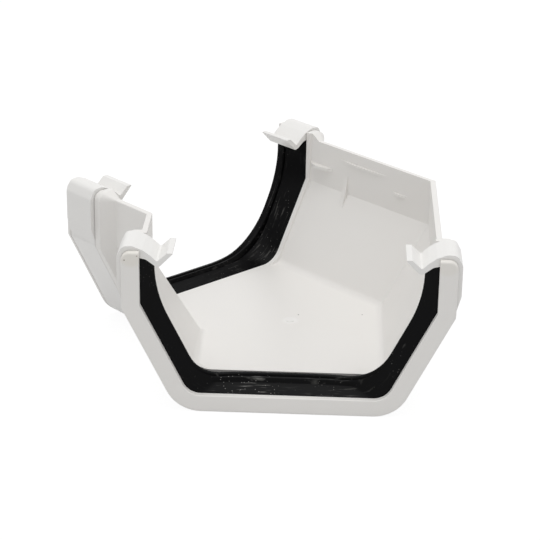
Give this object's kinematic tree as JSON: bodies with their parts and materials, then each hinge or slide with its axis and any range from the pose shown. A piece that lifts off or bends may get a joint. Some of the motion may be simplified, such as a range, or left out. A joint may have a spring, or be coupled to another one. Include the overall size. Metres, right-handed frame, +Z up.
{
  "type": "gutter angle",
  "caption": "White plastic gutter corner turning 135 degrees, with a rubber-sealed socket and a clip-over strap at each end.",
  "frame": {"origin": "under the middle of the whole piece, on the plane that it rests on", "axes": "+X towards the right arm, the two arms mirroring each other about X = 0; +Y towards the outer corner; +Z up, out of the open top"},
  "size_m": [0.196, 0.1638, 0.0738],
  "materials": {
    "body_plastic": "white moulded rigid plastic, satin gloss",
    "strap_plastic": "white moulded rigid plastic, a little brighter than the body",
    "seal_rubber": "black extruded rubber with a dull sheen and a little white dust"
  },
  "bodies": {
    "root": {"angle_body": "body_plastic", "strap_right": "strap_plastic", "strap_left": "strap_plastic", "seal_right": "seal_rubber", "seal_left": "seal_rubber"}
  },
  "joints": []
}
